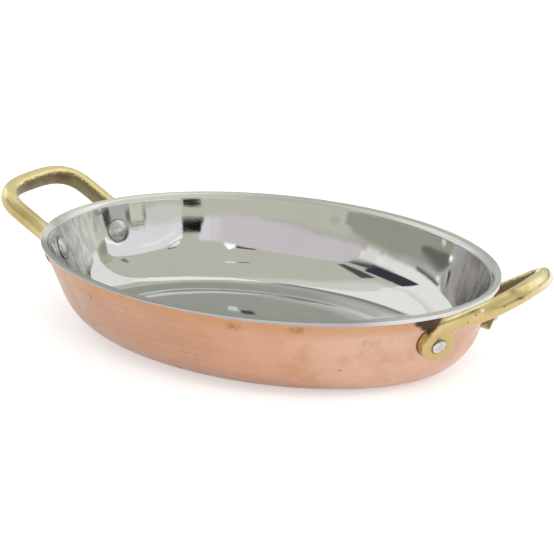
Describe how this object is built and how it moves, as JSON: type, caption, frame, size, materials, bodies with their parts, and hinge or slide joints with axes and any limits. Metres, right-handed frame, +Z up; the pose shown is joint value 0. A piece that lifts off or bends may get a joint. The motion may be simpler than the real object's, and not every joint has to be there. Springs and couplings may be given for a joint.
{
  "type": "oval egg pan",
  "caption": "Low oval pan for eggs and gratins, with sloping copper walls, a steel lining with a flared lip, and a riveted cast brass loop handle at each end.",
  "frame": {"origin": "middle of the flat base, on the surface that the pan stands on", "axes": "+X along the oval towards a handle, +Y across the oval, +Z up out of the pan"},
  "size_m": [0.2252, 0.127, 0.0445],
  "materials": {
    "copper": "satin copper with a fine horizontal grain",
    "lining": "stainless steel polished bright",
    "brass": "cast brass, roughly polished, with a few casting marks",
    "rivet": "satin steel, hammered at the outer end"
  },
  "bodies": {
    "root": {"copper_shell": "copper", "steel_lining": "lining", "handle_left": "brass", "handle_right": "brass", "rivet_left_front": "rivet", "rivet_left_back": "rivet", "rivet_right_front": "rivet", "rivet_right_back": "rivet"}
  },
  "joints": []
}
